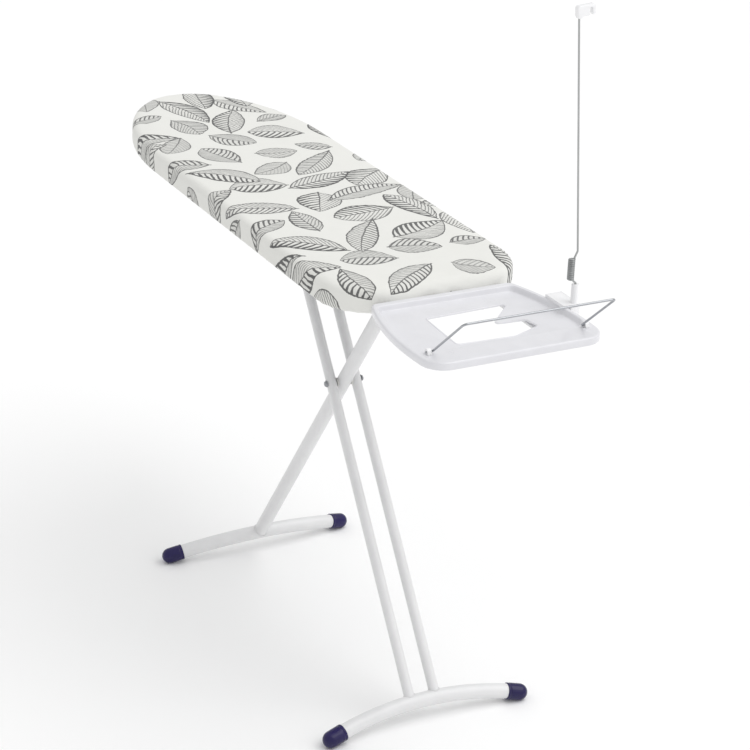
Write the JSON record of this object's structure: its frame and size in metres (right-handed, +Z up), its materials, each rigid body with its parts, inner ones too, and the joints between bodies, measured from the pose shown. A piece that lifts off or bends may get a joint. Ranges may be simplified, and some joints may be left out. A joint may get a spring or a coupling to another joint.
{
  "type": "ironing board",
  "caption": "Folding ironing board with a padded leaf-print cover on a crossed tube stand, an iron tray with a fold-over wire rest, and a sprung cord holder.",
  "frame": {"origin": "middle of the whole board's footprint at floor level, with the stand open as shown", "axes": "+X along the board from its nose to the iron tray, +Y to its left side, +Z up"},
  "size_m": [1.5248, 0.4346, 1.3916],
  "materials": {
    "core_plastic": "matte",
    "pad_felt": "matte",
    "cover_cotton": "matte",
    "white_steel": "satin",
    "zinc_steel": "satin",
    "dark_steel": "satin",
    "spring_steel": "satin",
    "chrome_wire": "polished",
    "white_wire": "gloss",
    "white_plastic": "gloss",
    "nylon_white": "matte",
    "black_plastic": "matte",
    "navy_plastic": "gloss"
  },
  "bodies": {
    "board": {"board_core": "core_plastic", "underlay_pad": "pad_felt", "cover": "cover_cotton", "rail_left": "white_steel", "rail_right": "white_steel", "rail_stops": "black_plastic", "rail_screws": "zinc_steel", "leg_hinge_bracket": "white_steel", "hinge_bracket_screws": "zinc_steel", "leg_hinge_pin": "zinc_steel", "tray_strap_left": "white_steel", "tray_strap_right": "white_steel", "tray_strap_screws": "zinc_steel", "iron_tray": "white_plastic", "tray_screws": "zinc_steel", "rest_clip_left": "white_plastic", "rest_clip_right": "white_plastic", "cord_holder_socket": "white_plastic"},
    "single_leg": {"single_leg_tube": "white_steel", "leg_hinge_sleeve": "white_steel", "pivot_bush": "black_plastic", "rear_foot_bar": "white_steel", "rear_foot_cap_left": "navy_plastic", "rear_foot_cap_right": "navy_plastic"},
    "twin_leg": {"twin_tube_left": "white_steel", "twin_tube_right": "white_steel", "twin_tube_plugs": "black_plastic", "slide_axle": "zinc_steel", "leg_pivot_pin": "zinc_steel", "pivot_washers": "nylon_white", "pivot_cap_nuts": "dark_steel", "front_foot_bar": "white_steel", "front_foot_cap_left": "navy_plastic", "front_foot_cap_right": "navy_plastic"},
    "carriage": {"slide_carrier": "zinc_steel", "slide_shoe_left": "black_plastic", "slide_shoe_right": "black_plastic", "lever_springs": "spring_steel"},
    "lever": {"release_lever": "dark_steel", "lever_grip": "navy_plastic"},
    "wire_rest": {"iron_rest_wire": "chrome_wire"},
    "mast_base": {"mast_stub": "spring_steel", "mast_spring": "spring_steel"},
    "mast": {"mast_wire": "white_wire", "cord_clip": "white_plastic"}
  },
  "joints": [
    {"name": "leg_fold", "type": "hinge", "parent": "board", "child": "single_leg", "pos_m": [0.28161, 0, 0.81764], "axis": [0, 1, 0], "range_deg": [-6, 51]},
    {"name": "leg_cross", "type": "hinge", "parent": "single_leg", "child": "twin_leg", "pos_m": [0.08294, 0, 0.5442], "axis": [0, 1, 0], "range_deg": [-102, 12]},
    {"name": "carriage_swivel", "type": "hinge", "parent": "twin_leg", "child": "carriage", "pos_m": [-0.11573, 0, 0.81764], "axis": [0, 1, 0], "range_deg": [-6, 51]},
    {"name": "lever_squeeze", "type": "hinge", "parent": "carriage", "child": "lever", "pos_m": [-0.11573, 0, 0.81764], "axis": [0, 1, 0], "range_deg": [0, 12], "stiffness_Nm_per_rad": 2, "springref_deg": -17.19},
    {"name": "rest_fold", "type": "hinge", "parent": "board", "child": "wire_rest", "pos_m": [0.66611, 0, 0.86244], "axis": [0, -1, 0], "range_deg": [0, 138.7]},
    {"name": "mast_swivel", "type": "hinge", "parent": "board", "child": "mast_base", "pos_m": [0.57811, 0.183, 0.89894], "axis": [0, 0, 1], "range_deg": [-90, 90]},
    {"name": "mast_flex", "type": "hinge", "parent": "mast_base", "child": "mast", "pos_m": [0.57811, 0.172, 0.92769], "axis": [0, 1, 0], "range_deg": [-25, 25], "stiffness_Nm_per_rad": 1.5, "deforming": ["mast_spring"]}
  ],
  "couplings": [
    {"joint": "leg_cross", "follows": "leg_fold", "ratio": -2},
    {"joint": "carriage_swivel", "follows": "leg_fold", "ratio": 1}
  ]
}
